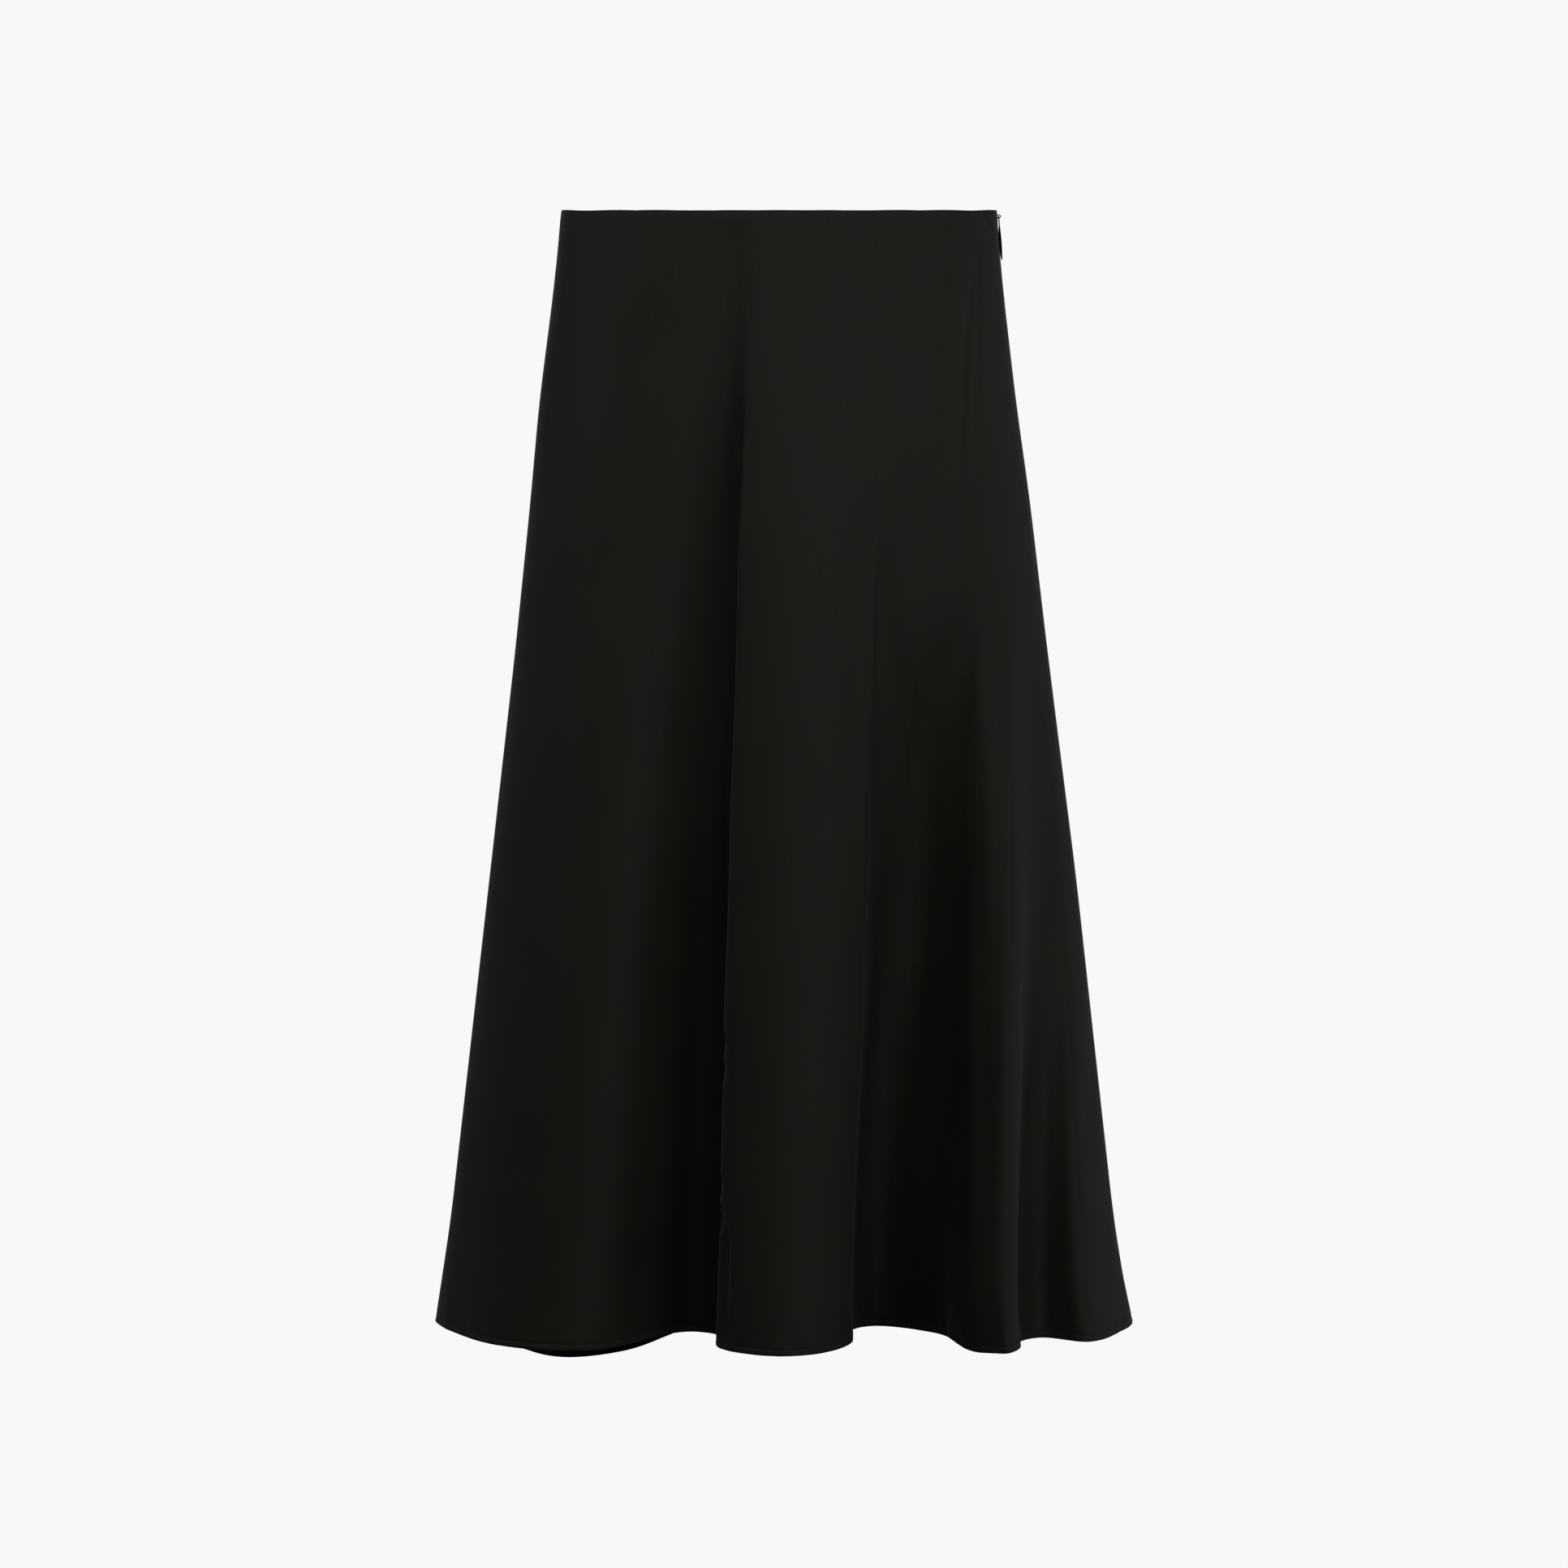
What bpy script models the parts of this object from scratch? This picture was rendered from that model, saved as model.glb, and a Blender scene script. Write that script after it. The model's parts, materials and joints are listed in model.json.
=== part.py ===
"""A-line midi skirt in black satin, filled out as it hangs from the waist.

Units are metres, +Z is up. The origin is the middle of the waist opening, in the plane of its
top edge. The front of the skirt faces -Y and the wearer's left side is +X, where the zip is.
"""

import math

import bpy
import numpy as np

MM = 0.001

# ---------------------------------------------------------------- the cut
CLOTH = 1.5 * MM  # wall of the solid cloth
SEAM_GAP = 0.3 * MM

# The plain body of the skirt, with no folds: half-widths and half-depths in mm at each drop
# below the waist edge.
SECTION_COLUMNS = ("drop", "left", "right", "front", "back")
SECTIONS = (
    (0, 147.5, 147.5, 88, 88),
    (50, 152.5, 151.5, 92, 94),
    (130, 163, 161, 97, 100),
    (200, 169.5, 171, 99, 102),
    (300, 180, 183, 100, 102),
    (450, 197.5, 202.5, 98, 98),
    (600, 215, 219, 96, 94),
    (690, 225.5, 229, 95, 92),
    (745, 234, 238, 95, 92),
    (761, 236.5, 243, 95, 92),
    (805, 243, 249, 95, 92),
)

# One row for each ridge, flank and valley of the cloth, round the skirt from the left side seam
# over the front to the right one, and back behind. In mm: where it leaves the waist edge, where
# it meets the hem, how long the cloth is there, how far below the waist it begins to part from
# the plain body, and last the power by which it deepens from there. The back dips where its
# cloth hangs on the bias.
FOLD_COLUMNS = ("name", "waist_x", "hem_x", "hem_y", "length", "start", "growth")
FRONT_FOLDS = (
    ("left_seam", -147.5, -236.5, 0, 761, 0, 1.15),
    ("left_turn", -138, -213, -64, 761, 60, 1.15),
    ("left_shoulder", -122, -182, -104, 761, 60, 1.15),
    ("left_ridge", -88, -136, -121, 761, 60, 1.15),
    ("left_slope", -59, -94, -84, 761, 30, 1.05),
    ("left_valley", -32, -56, -44, 761, 15, 0.9),
    ("centre_wall_left", -25, -42, -56, 761, 15, 0.9),
    ("centre_lip_left", -21, -43, -100, 761, 15, 1.0),
    ("centre_left", -9, -25, -130, 761, 15, 1.15),
    ("centre_ridge", 12, 4, -141, 761, 15, 1.15),
    ("centre_right", 42, 34, -128, 760, 60, 1.15),
    ("centre_lip_right", 57, 48.5, -107, 758, 160, 1.15),
    ("centre_wall_right", 58.5, 46.5, -64, 759, 165, 1.1),
    ("right_valley", 76, 66, -21, 761, 270, 0.95),
    ("right_slope", 98, 98, -40, 761, 235, 0.7),
    ("second_foot", 113, 114, -64, 761, 215, 0.75),
    ("second_wall", 118, 123, -92, 763, 200, 0.95),
    ("second_flank", 122.5, 132, -107, 764, 195, 1.1),
    ("second_ridge", 128, 143, -118, 763, 190, 1.15),
    ("second_crest", 133, 153, -125, 762, 190, 1.15),
    ("second_lip", 136.5, 162.5, -111, 761, 210, 1.15),
    ("second_lip_wall", 138, 162, -88, 761, 250, 1.15),
    ("shallow_valley", 141.5, 178, -67, 761, 320, 1.25),
    ("side_ridge", 144, 204, -84, 761, 420, 1.15),
    ("right_turn", 146.3, 231, -49, 761, 420, 1.15),
    ("right_seam", 147.5, 243, 0, 761, 420, 1.15),
)
BACK_FOLDS = (
    ("back_turn", 143, 232, 46, 764, 200, 1.15),
    ("back_side_ridge", 126, 180, 112, 780, 60, 1.15),
    ("back_side_slope", 97, 126, 92, 776, 40, 1.0),
    ("back_side_valley", 77, 88, 30, 768, 40, 0.85),
    ("back_side_foot", 62, 66, 64, 770, 40, 0.9),
    ("back_ridge", 24, 16, 134, 774, 30, 1.15),
    ("back_slope", -28, -44, 96, 775, 60, 1.1),
    ("back_valley", -58, -88, 32, 781, 90, 0.9),
    ("back_wall", -92, -118, 78, 797, 120, 1.0),
    ("back_left_ridge", -116, -162, 104, 803, 120, 1.15),
    ("back_left_turn", -140, -215, 60, 774, 120, 1.15),
)
FOLD_ONSET = 0.13  # share of its length over which a fold sets in softly
FOLD_BLEND = 0.018  # of a lap, over which neighbouring folds share their places
SECTION_BLEND = 20 * MM  # rounds the corners of the table of sections
FRONT_COLUMNS = 3  # mesh columns from one row of its table to the next
BACK_COLUMNS = 4
BODY_ROWS = 14  # mesh rows below the zip's slit
BESIDE_STEPS = 12  # in which a distance round the cloth is walked

# ---------------------------------------------------------------- the zip
ZIP_LENGTH = 203 * MM
SLIT_DROPS = (0, 4.2 * MM, 12 * MM, 22 * MM, 35 * MM)  # mesh rows over the slit
SLIT_WIDTH = 2.4 * MM  # the seam's edges part this much round the slider
SLIT_ABOVE = 12 * MM  # how fast the slit narrows above the slider
TAPE_WIDTH = 11 * MM
TAPE_THICKNESS = 0.8 * MM
TAPE_ROWS = 6
TAPE_GAP = 0.4 * MM  # between a panel and the tape that lies on it
SLIDER_GAP = 0.55 * MM  # between the tapes, which curve, and the flat slider
SLIDER_DROP = 4.2 * MM
SLIDER_SIZE = (2.4 * MM, 6 * MM, 7 * MM)
SLIDER_BEVEL = 0.6 * MM
BRIDGE_THICKNESS = 1.4 * MM
BRIDGE_NECK = 1.1 * MM  # half its height
BRIDGE_RADIUS = 1.45 * MM
BRIDGE_EYE = 0.8 * MM  # radius of the hole that the pull hangs in
PIVOT_OUT = 0.9 * MM  # from the cloth's outer face to the pull's axis
PULL_THICKNESS = 0.7 * MM
PULL_BAR = 0.3 * MM  # half the height of its cross bar
PULL_WINDOW = (1.05 * MM, 3.2 * MM)  # half its width, and how far it reaches below the axis
# The pull in mm, from its bar down to where its round end begins: below the axis, half-width.
PULL_OUTLINE = ((-0.3, 1.7), (0.1, 2.1), (3.6, 2.1), (5.5, 1.7), (10, 1.6), (18, 2.2), (26.5, 2.8))
ROUND_STEPS = 12

# ---------------------------------------------------------------- finishes
# sRGB colour, roughness, metallic
SATIN = ("black_satin", (0.118, 0.118, 0.108), 0.55, 0.0)
SATIN_BACK = ("black_satin_back", (0.11, 0.11, 0.1), 0.6, 0.0)
TAPE = ("zip_tape", (0.09, 0.09, 0.085), 0.8, 0.0)
LACQUER = ("lacquered_zinc", (0.1, 0.1, 0.1), 0.35, 0.5)


class Form:
    """The outer face of the cloth, at a place around it from 0 to 1 and a drop below the waist.

    The lap starts at the left side seam, crosses the front to the right one and ends behind.
    """

    def __init__(self, folds, front_count):
        column = {name: i for i, name in enumerate(FOLD_COLUMNS)}
        self.hem = np.array([row[column["hem_x"] : column["length"] + 1] for row in folds]) * MM
        self.start = np.array([row[column["start"]] for row in folds]) * MM
        self.growth = np.array([row[column["growth"]] for row in folds])
        chord = np.linalg.norm(np.roll(self.hem, -1, axis=0) - self.hem, axis=1)
        self.knots = np.concatenate([[0], np.cumsum(chord)[:-1]]) / chord.sum()
        self.right_seam = float(self.knots[front_count - 1])
        waist_x = np.array([row[column["waist_x"]] for row in folds])
        lean = np.arccos(waist_x / max(waist_x))
        behind = np.arange(len(folds)) >= front_count
        # The angle runs from pi at the left seam over 3/2 pi in front to 2 pi at the right.
        self.angle = 2 * math.pi + np.where(behind, lean, -lean)

    def spline(self, around):
        """The hem's x, y and drop: a smooth closed curve through the rows of the tables."""
        span = np.diff(np.append(self.knots, 1))
        before = np.roll(span, 1)
        rise = (np.roll(self.hem, -1, axis=0) - self.hem) / span[:, None]
        count = len(span)
        rows = np.arange(count)
        system = np.zeros((count, count))
        system[rows, rows] = 2 * (before + span)
        system[rows, (rows - 1) % count] += before
        system[rows, (rows + 1) % count] += span
        bend = np.linalg.solve(system, 6 * (rise - np.roll(rise, 1, axis=0)))
        around = around % 1
        i = np.searchsorted(self.knots, around, side="right") - 1
        j = (i + 1) % count
        width = span[i][:, None]
        past = (around - self.knots[i])[:, None]
        left = width - past
        return (
            (bend[i] * left**3 + bend[j] * past**3) / (6 * width)
            + (self.hem[i] / width - bend[i] * width / 6) * left
            + (self.hem[j] / width - bend[j] * width / 6) * past
        )

    def softened(self, values, around, lap=0.0):
        """Straight lines between the rows' values with their corners rounded; lap is their rise
        over a whole turn."""
        knots = np.concatenate([self.knots - 1, self.knots, self.knots + 1])
        values = np.concatenate([values - lap, values, values + lap])
        steps = np.linspace(-1, 1, 13)
        weights = np.cos(steps * math.pi / 2) ** 2
        read = np.array([np.interp(around + step * FOLD_BLEND, knots, values) for step in steps])
        return weights @ read / weights.sum()

    def hem_drop(self, around):
        around = np.asarray(around, float)
        return self.spline(around.ravel())[:, 2].reshape(around.shape)

    def point(self, around, drop):
        around, drop = np.broadcast_arrays(np.asarray(around, float), np.asarray(drop, float))
        flat_around, flat_drop = around.ravel(), drop.ravel()
        angle = self.softened(self.angle, flat_around, lap=2 * math.pi)
        start = self.softened(self.start, flat_around)
        hem = self.spline(flat_around)
        full = hem[:, 2]
        growth = self.softened(self.growth, flat_around)
        share = np.clip((flat_drop - start) / (full - start), 0, None)
        grown = share**growth * (1 - np.exp(-((share / FOLD_ONSET) ** 2)))
        ring = plain_ring(angle, flat_drop) + grown[:, None] * (hem[:, :2] - plain_ring(angle, full))
        return np.column_stack([ring, -flat_drop]).reshape(*around.shape, 3)

    def tangent(self, around, drop, step=1e-4):
        """How the level ring runs on per whole turn."""
        ahead = self.point(around + step, drop) - self.point(around - step, drop)
        return ahead[..., :2] / (2 * step)

    def inside(self, around, drop, depth):
        """A point of the face moved level into the skirt."""
        around, drop = np.broadcast_arrays(np.asarray(around, float), np.asarray(drop, float))
        along = self.tangent(around, drop)
        point = self.point(around, drop)
        outward = np.stack([along[..., 1], -along[..., 0]], axis=-1)
        outward /= np.linalg.norm(outward, axis=-1, keepdims=True)
        point[..., :2] -= depth * outward
        return point

    def beside(self, around, drop, distance):
        """The place round the lap that lies a distance of cloth further on, reached in steps."""
        for _ in range(BESIDE_STEPS):
            pace = np.linalg.norm(self.tangent(around, drop), axis=-1)
            around = around + distance / BESIDE_STEPS / pace
        return around


def plain_ring(angle, drop):
    """The plain body with no folds, at each angle and drop."""
    cosine, sine = np.cos(angle), np.sin(angle)
    wide = np.where(cosine < 0, section("left", drop), section("right", drop))
    deep = np.where(sine < 0, section("front", drop), section("back", drop))
    return np.column_stack([wide * cosine, deep * sine])


def section(name, drop):
    """One measure of the plain body, with the corners of its table rounded."""
    drops = np.array([row[0] for row in SECTIONS]) * MM
    sizes = np.array([row[SECTION_COLUMNS.index(name)] for row in SECTIONS]) * MM
    steps = np.linspace(-1, 1, 9) * SECTION_BLEND
    read = [np.interp(np.abs(drop + step), drops, sizes) for step in steps]
    # The waist edge itself keeps its own size.
    settle = np.clip(drop / SECTION_BLEND, 0, 1)
    return settle * np.mean(read, axis=0) + (1 - settle) * np.interp(drop, drops, sizes)


# ---------------------------------------------------------------- mesh helpers
def material(name, colour, roughness, metallic):
    made = bpy.data.materials.new(name)
    made.use_nodes = True
    shader = made.node_tree.nodes["Principled BSDF"]
    linear = [((c + 0.055) / 1.055) ** 2.4 for c in colour]
    shader.inputs["Base Color"].default_value = (*linear, 1)
    shader.inputs["Roughness"].default_value = roughness
    shader.inputs["Metallic"].default_value = metallic
    return made


def add_object(name, points, faces, finish):
    mesh = bpy.data.meshes.new(name)
    mesh.from_pydata([tuple(map(float, p)) for p in points], [], faces)
    mesh.validate()
    mesh.materials.append(material(*finish))
    made = bpy.data.objects.new(name, mesh)
    bpy.context.scene.collection.objects.link(made)
    return made


def cloth_wall(name, outer, inner, finish):
    """A closed sheet between two grids of points, whose rows run down and columns round."""
    rows, columns = outer.shape[:2]
    out = np.arange(rows * columns).reshape(rows, columns)
    into = out + rows * columns
    faces = []
    for r in range(rows - 1):
        for c in range(columns - 1):
            faces.append((out[r, c], out[r + 1, c], out[r + 1, c + 1], out[r, c + 1]))
            faces.append((into[r, c], into[r, c + 1], into[r + 1, c + 1], into[r + 1, c]))
    rim = [(0, c) for c in range(columns - 1)] + [(r, columns - 1) for r in range(rows - 1)]
    rim += [(rows - 1, c) for c in range(columns - 1, 0, -1)] + [(r, 0) for r in range(rows - 1, 0, -1)]
    for here, there in zip(rim, rim[1:] + rim[:1]):
        faces.append((out[here], out[there], into[there], into[here]))
    faces = [tuple(int(i) for i in face) for face in faces]
    points = np.concatenate([outer.reshape(-1, 3), inner.reshape(-1, 3)])
    made = add_object(name, points, faces, finish)
    made.data.shade_smooth()
    return made


def plate(name, outline, thickness, finish):
    """An outline in the XZ plane, given anticlockwise as seen from the front, made thick in Y."""
    count = len(outline)
    points = [(x, side * thickness / 2, z) for side in (-1, 1) for x, z in outline]
    front = tuple(range(count))
    back = tuple(reversed(range(count, 2 * count)))
    sides = [(i, i + count, (i + 1) % count + count, (i + 1) % count) for i in range(count)]
    return add_object(name, points, [front, back, *sides], finish)


def boolean(target, operation, tool):
    """Joins or cuts with a hidden helper, which is no piece of its own."""
    step = target.modifiers.new(f"{operation.lower()}_{tool.name}", "BOOLEAN")
    step.operation = operation
    step.object = tool
    tool.hide_render = True
    tool.display_type = "WIRE"


# ---------------------------------------------------------------- the pieces
def slit(drop):
    """The width between the seam's edges on the zip side."""
    reach = np.where(drop < SLIDER_DROP, SLIT_ABOVE, SLIT_DROPS[-1] - SLIDER_DROP)
    far = np.clip(np.abs(drop - SLIDER_DROP) / reach, 0, 1)
    return SEAM_GAP + (SLIT_WIDTH - SEAM_GAP) * np.cos(far * math.pi / 2) ** 2


def panel(name, form, first, last, columns, edges, finish):
    """The cloth between two rows of the tables; edges are the gaps cut off at its two seams."""
    knots = np.append(form.knots, 1.0)[first : last + 1]
    places = np.linspace(0, len(knots) - 1, columns * (len(knots) - 1) + 1)
    around = np.interp(places, np.arange(len(knots)), knots)[None, :]
    share = np.linspace(0, 1, BODY_ROWS + 1)[1:, None]
    slit_rows = np.repeat(np.array(SLIT_DROPS)[:, None], around.shape[1], axis=1)
    body_rows = SLIT_DROPS[-1] + share * (form.hem_drop(around) - SLIT_DROPS[-1])
    drops = np.concatenate([slit_rows, body_rows])
    around = np.repeat(around, len(drops), axis=0)
    around[:, 0] = form.beside(around[:, 0], drops[:, 0], edges[0](drops[:, 0]) / 2)
    around[:, -1] = form.beside(around[:, -1], drops[:, -1], -edges[1](drops[:, -1]) / 2)
    return cloth_wall(name, form.point(around, drops), form.inside(around, drops, CLOTH), finish)


def zip_tape(name, form, side):
    """A tape inside the wall, along one edge of the slit; side is -1 in front and 1 behind."""
    drops = np.concatenate([SLIT_DROPS, np.linspace(SLIT_DROPS[-1], ZIP_LENGTH, TAPE_ROWS)[1:]])
    drops = drops[:, None]
    across = np.array([0, 0.5, 1]) if side > 0 else np.array([-1, -0.5, 0])
    distance = across[None, :] * TAPE_WIDTH + side * slit(drops) / 2
    around = form.beside(form.right_seam, drops, distance)
    outer = form.inside(around, drops, CLOTH + TAPE_GAP)
    inner = form.inside(around, drops, CLOTH + TAPE_GAP + TAPE_THICKNESS)
    return cloth_wall(name, outer, inner, TAPE)


def arc(centre, radius, start, end, steps):
    """Points of an arc in the XZ plane, its ends among them, with angles from +X."""
    angles = np.linspace(start, end, steps + 1)
    return [(centre[0] + radius * math.cos(a), centre[1] + radius * math.sin(a)) for a in angles]


def zip_slider():
    """The slider lies inside the tapes, and its bridge stands out through the slit."""
    depth, width, height = SLIDER_SIZE
    outer_face = -(PIVOT_OUT + CLOTH + TAPE_GAP + TAPE_THICKNESS + SLIDER_GAP)
    low, high = (outer_face - depth, -height / 2), (outer_face, height / 2)
    outline = [(low[0], low[1]), (high[0], low[1]), (high[0], high[1]), (low[0], high[1])]
    slider = plate("zip_slider", outline, width, LACQUER)
    bevel = slider.modifiers.new("edges", "BEVEL")
    bevel.width = SLIDER_BEVEL
    bevel.segments = 2

    lean = math.asin(BRIDGE_NECK / BRIDGE_RADIUS)
    root = outer_face - depth / 2
    ring = arc((0, 0), BRIDGE_RADIUS, lean - math.pi, math.pi - lean, 2 * ROUND_STEPS)
    bridge_outline = [(root, BRIDGE_NECK), (root, -BRIDGE_NECK), *ring]
    bridge = plate("bridge", bridge_outline, BRIDGE_THICKNESS, LACQUER)
    eye_outline = arc((0, 0), BRIDGE_EYE, 0, 2 * math.pi, ROUND_STEPS)[:-1]
    eye = plate("eye", eye_outline, 2 * BRIDGE_THICKNESS, LACQUER)
    boolean(slider, "UNION", bridge)
    boolean(slider, "DIFFERENCE", eye)
    return [slider, bridge, eye]


def zip_pull():
    """A long drop of sheet metal. Its bar lies in the bridge's eye, on the joint's axis."""
    rows = [(half * MM, -below * MM) for below, half in PULL_OUTLINE]
    end_half, end_z = rows[-1]
    left = [(-half, z) for half, z in rows]
    end = arc((0, end_z), end_half, -math.pi, 0, ROUND_STEPS)[1:-1]
    pull = plate("zip_pull", left + end + rows[::-1], PULL_THICKNESS, LACQUER)
    half, reach = PULL_WINDOW
    corners = [(-half, -reach), (half, -reach), (half, -PULL_BAR), (-half, -PULL_BAR)]
    window = plate("window", corners, 4 * PULL_THICKNESS, LACQUER)
    boolean(pull, "DIFFERENCE", window)
    return [pull, window]


def place_zip(form):
    """Hangs the slider and the pull on the pull's axis, in line with the cloth beside them."""
    top = form.point(form.right_seam, SLIDER_DROP)
    foot = form.point(form.right_seam, SLIT_DROPS[-1])
    lean = math.atan2(foot[0] - top[0], top[2] - foot[2])
    axis = (top[0] + PIVOT_OUT, top[1], top[2])
    for piece in zip_slider():
        piece.location = axis
        piece.rotation_euler = (0, -lean, 0)
    for piece in zip_pull():
        # The pull is drawn facing the front, and turns a quarter to lie on the side of the skirt.
        piece.location = axis
        piece.rotation_mode = "ZYX"
        piece.rotation_euler = (0, -lean, math.pi / 2)
    print("pull axis", [round(float(v), 5) for v in axis], "lean", round(math.degrees(lean), 2))


def main():
    for old in list(bpy.data.objects):
        bpy.data.objects.remove(old, do_unlink=True)
    front_count = len(FRONT_FOLDS)
    form = Form(FRONT_FOLDS + BACK_FOLDS, front_count)
    whole = len(FRONT_FOLDS) + len(BACK_FOLDS)

    def closed(drop):
        return np.full_like(drop, SEAM_GAP)

    panel("front_panel", form, 0, front_count - 1, FRONT_COLUMNS, (closed, slit), SATIN)
    panel("back_panel", form, front_count - 1, whole, BACK_COLUMNS, (slit, closed), SATIN_BACK)
    zip_tape("zip_tape_front", form, -1)
    zip_tape("zip_tape_back", form, 1)
    place_zip(form)


main()
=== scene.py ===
# %% [markdown]
# # A-line midi skirt in black satin
# The real skirt is cut from two flared panels of black satin, sewn together at the sides, with a
# narrow turned hem, a turned waist edge and a 20 cm concealed zip at the wearer's left.
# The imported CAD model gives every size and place. This lesson hangs the looks on it: thin cloth
# where the CAD has a stiff wall, seams, stitches, zip coils and the finish of each surface.

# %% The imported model
import json
import math

import bmesh
import bpy
import numpy as np
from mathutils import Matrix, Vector


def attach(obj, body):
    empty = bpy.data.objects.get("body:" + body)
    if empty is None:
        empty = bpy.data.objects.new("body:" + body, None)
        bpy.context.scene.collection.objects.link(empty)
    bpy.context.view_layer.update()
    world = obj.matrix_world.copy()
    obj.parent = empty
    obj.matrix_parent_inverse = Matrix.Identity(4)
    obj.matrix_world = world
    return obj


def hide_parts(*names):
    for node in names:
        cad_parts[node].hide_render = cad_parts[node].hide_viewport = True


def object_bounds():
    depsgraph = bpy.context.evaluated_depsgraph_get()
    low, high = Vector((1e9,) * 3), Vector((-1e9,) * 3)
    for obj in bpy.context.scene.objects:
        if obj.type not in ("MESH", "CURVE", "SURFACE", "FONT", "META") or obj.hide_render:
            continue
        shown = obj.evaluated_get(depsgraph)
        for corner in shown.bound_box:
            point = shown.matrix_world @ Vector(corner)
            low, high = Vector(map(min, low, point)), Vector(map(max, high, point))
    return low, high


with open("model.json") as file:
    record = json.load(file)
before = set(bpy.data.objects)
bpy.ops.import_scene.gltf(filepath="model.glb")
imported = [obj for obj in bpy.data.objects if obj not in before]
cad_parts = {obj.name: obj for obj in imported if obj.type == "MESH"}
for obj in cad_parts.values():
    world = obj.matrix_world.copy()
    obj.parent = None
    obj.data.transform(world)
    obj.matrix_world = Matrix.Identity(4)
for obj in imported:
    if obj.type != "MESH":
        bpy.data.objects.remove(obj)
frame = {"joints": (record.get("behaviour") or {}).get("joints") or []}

cad_low, cad_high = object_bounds()
MM = 0.001
SKIRT, PULL = "skirt", "zip_pull"  # the two bodies: all the cloth and the zip, and its pull tab
print("packed model", [round(v * 1000, 1) for v in cad_high - cad_low], "mm")

# %% [markdown]
# ## Camera
# The photo was taken from far away with a long lens, level with the waist and tilted a little
# down at the hem, so the waist edge reads as a straight line while the hem shows its curves.
# A long lens is made by moving the camera back and narrowing its view, which keeps both edges
# of the skirt square to the picture.

# %% Camera
PHOTO_PIXELS = 1932
FOCAL_PIXELS = 8151.5  # distance to the picture, in its own pixels
CAMERA_PLACE = (0.0033, -4.5, 0.0)
CAMERA_TILT = math.radians(4.957)  # downwards

camera_data = bpy.data.cameras.new("camera")
camera_data.sensor_width = 36
camera_data.lens = FOCAL_PIXELS * camera_data.sensor_width / PHOTO_PIXELS
camera = bpy.data.objects.new("camera", camera_data)
camera.location = CAMERA_PLACE
camera.rotation_euler = (math.pi / 2 - CAMERA_TILT, 0, 0)
bpy.context.scene.collection.objects.link(camera)
bpy.context.scene.camera = camera
print("lens", round(camera_data.lens, 1), "mm")

# %% [markdown]
# ## Colours and nodes
# A colour picked on a screen is an sRGB hex value, while Blender's sockets take linear light, so
# one function turns the one into the other. A second small function adds a node with its
# settings and its links in one call, which keeps each material readable from top to bottom.

# %% Helpers for materials
def linear(hex_colour):
    """An sRGB colour such as #1E1E1C as linear red, green, blue and alpha."""
    parts = [int(hex_colour[i : i + 2], 16) / 255 for i in (1, 3, 5)]
    light = [p / 12.92 if p <= 0.04045 else ((p + 0.055) / 1.055) ** 2.4 for p in parts]
    return (*light, 1.0)


def add_node(tree, kind, inputs=None, **settings):
    """Adds a node, sets it up and fills its sockets with values or with other nodes' outputs."""
    node = tree.nodes.new(kind)
    for name, value in settings.items():
        setattr(node, name, value)
    for socket, value in (inputs or {}).items():
        if isinstance(value, bpy.types.NodeSocket):
            tree.links.new(value, node.inputs[socket])
        else:
            node.inputs[socket].default_value = value
    return node


def new_material(name):
    """An empty material with its output, ready for a shader."""
    made = bpy.data.materials.new(name)
    made.use_nodes = True
    made.node_tree.nodes.clear()
    return made, made.node_tree


def finish_material(tree, shader):
    add_node(tree, "ShaderNodeOutputMaterial", {"Surface": shader})


# %% [markdown]
# ## Studio
# The photo has a seamless pale background and no shadow. A pale floor below the hem and a world
# of the same brightness join without a horizon. Black satin shows little but the light it throws
# back, so the background must not light it as strongly as it shows: the world is pale to the
# camera only, and the cloth stands in a dim room with soft boxes round it.

# %% World and floor
scene = bpy.context.scene
scene.view_settings.view_transform = "Standard"  # keeps the background's value as it is given
BACKGROUND = "#F8F8F8"
ROOM = "#0C0C0C"
FLOOR_DROP = 0.25  # below the hem, so that the skirt hangs clear as it does when it is worn
FLOOR_HALF = 400.0  # metres, far enough for the edge to lie on the horizon

world = bpy.data.worlds.new("studio")
world.use_nodes = True
world.node_tree.nodes.clear()
rays = add_node(world.node_tree, "ShaderNodeLightPath")
shown = add_node(world.node_tree, "ShaderNodeBackground", {"Color": linear(BACKGROUND), "Strength": 1.0})
lighting = add_node(world.node_tree, "ShaderNodeBackground", {"Color": linear(ROOM), "Strength": 1.0})
mixed = add_node(
    world.node_tree,
    "ShaderNodeMixShader",
    {0: rays.outputs["Is Camera Ray"], 1: lighting.outputs[0], 2: shown.outputs[0]},
)
add_node(world.node_tree, "ShaderNodeOutputWorld", {"Surface": mixed.outputs[0]})
scene.world = world

pale_floor, tree = new_material("pale_paper_floor")
glow = add_node(tree, "ShaderNodeEmission", {"Color": linear(BACKGROUND), "Strength": 1.0})
finish_material(tree, glow.outputs[0])
floor_z = cad_low.z - FLOOR_DROP
floor_mesh = bpy.data.meshes.new("floor")
corners = [(-1, -1), (1, -1), (1, 1), (-1, 1)]
floor_mesh.from_pydata([(x * FLOOR_HALF, y * FLOOR_HALF, floor_z) for x, y in corners], [], [(0, 1, 2, 3)])
floor_mesh.materials.append(pale_floor)
floor = bpy.data.objects.new("floor", floor_mesh)
floor.visible_diffuse = False
floor.visible_glossy = False
scene.collection.objects.link(floor)
print("floor at", round(floor_z, 3), "m")

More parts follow.
